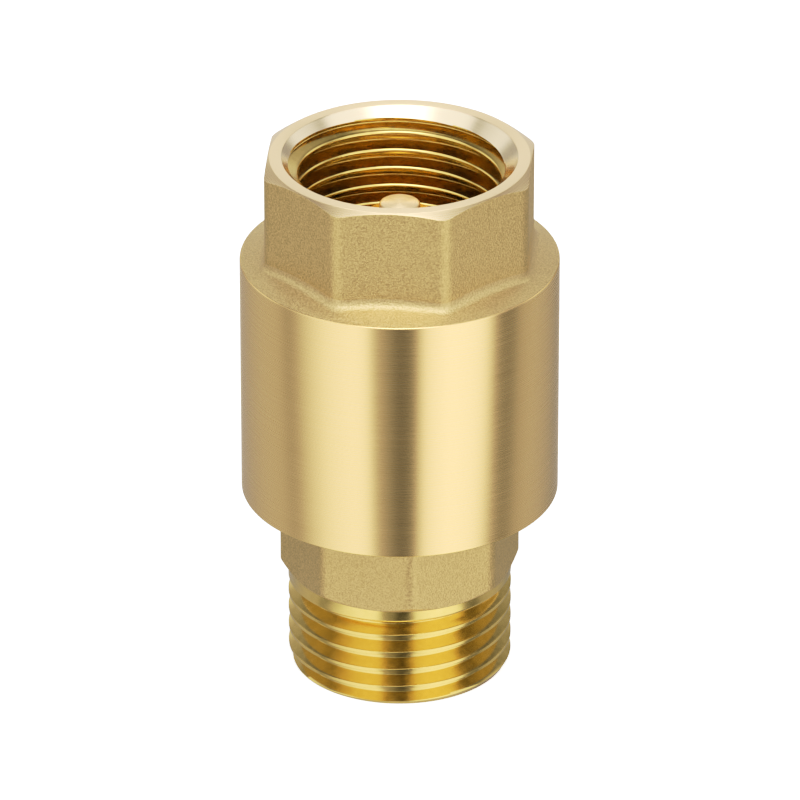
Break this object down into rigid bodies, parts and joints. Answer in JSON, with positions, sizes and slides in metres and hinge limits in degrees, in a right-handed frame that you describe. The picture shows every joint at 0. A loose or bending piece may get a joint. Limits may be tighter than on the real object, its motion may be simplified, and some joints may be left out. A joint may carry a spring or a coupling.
{
  "type": "check valve",
  "caption": "In-line spring check valve in brass: octagonal female outlet, round barrel and threaded male inlet, with a spring-loaded poppet on a guided stem inside.",
  "frame": {"origin": "on the valve's axis, in the plane of the male inlet's end face, which the valve can stand on", "axes": "+Z along the valve's axis in the direction of flow, from the male inlet to the female outlet; -Y faces the front view"},
  "size_m": [0.0296, 0.0296, 0.052],
  "materials": {
    "body_brass": "sandblasted forging with a satin turned barrel and machined threads",
    "nipple_brass": "sandblasted octagon, polished machined thread",
    "turned_brass": "fine turned",
    "stainless": "drawn and stamped stainless steel",
    "black_rubber": "moulded nitrile rubber"
  },
  "bodies": {
    "valve": {"valve_body": "body_brass", "end_nipple": "nipple_brass", "body_o_ring": "black_rubber", "stem_guide": "turned_brass", "guide_snap_ring": "stainless", "return_spring": "stainless"},
    "spring_seat": {"spring_washer": "stainless"},
    "poppet": {"poppet_stem": "turned_brass", "poppet_disc": "turned_brass", "seat_seal": "black_rubber", "seal_retainer": "turned_brass", "lock_washer": "stainless", "stem_nut": "stainless"}
  },
  "joints": [
    {"name": "poppet_lift", "type": "slide", "parent": "valve", "child": "spring_seat", "axis": [0, 0, 1], "range_m": [0, 0.0035], "stiffness_N_per_m": 240, "springref_m": -0.003, "deforming": ["return_spring"]},
    {"name": "poppet_turn", "type": "hinge", "parent": "spring_seat", "child": "poppet", "pos_m": [0, 0, 0.025], "axis": [0, 0, 1], "continuous": true}
  ]
}
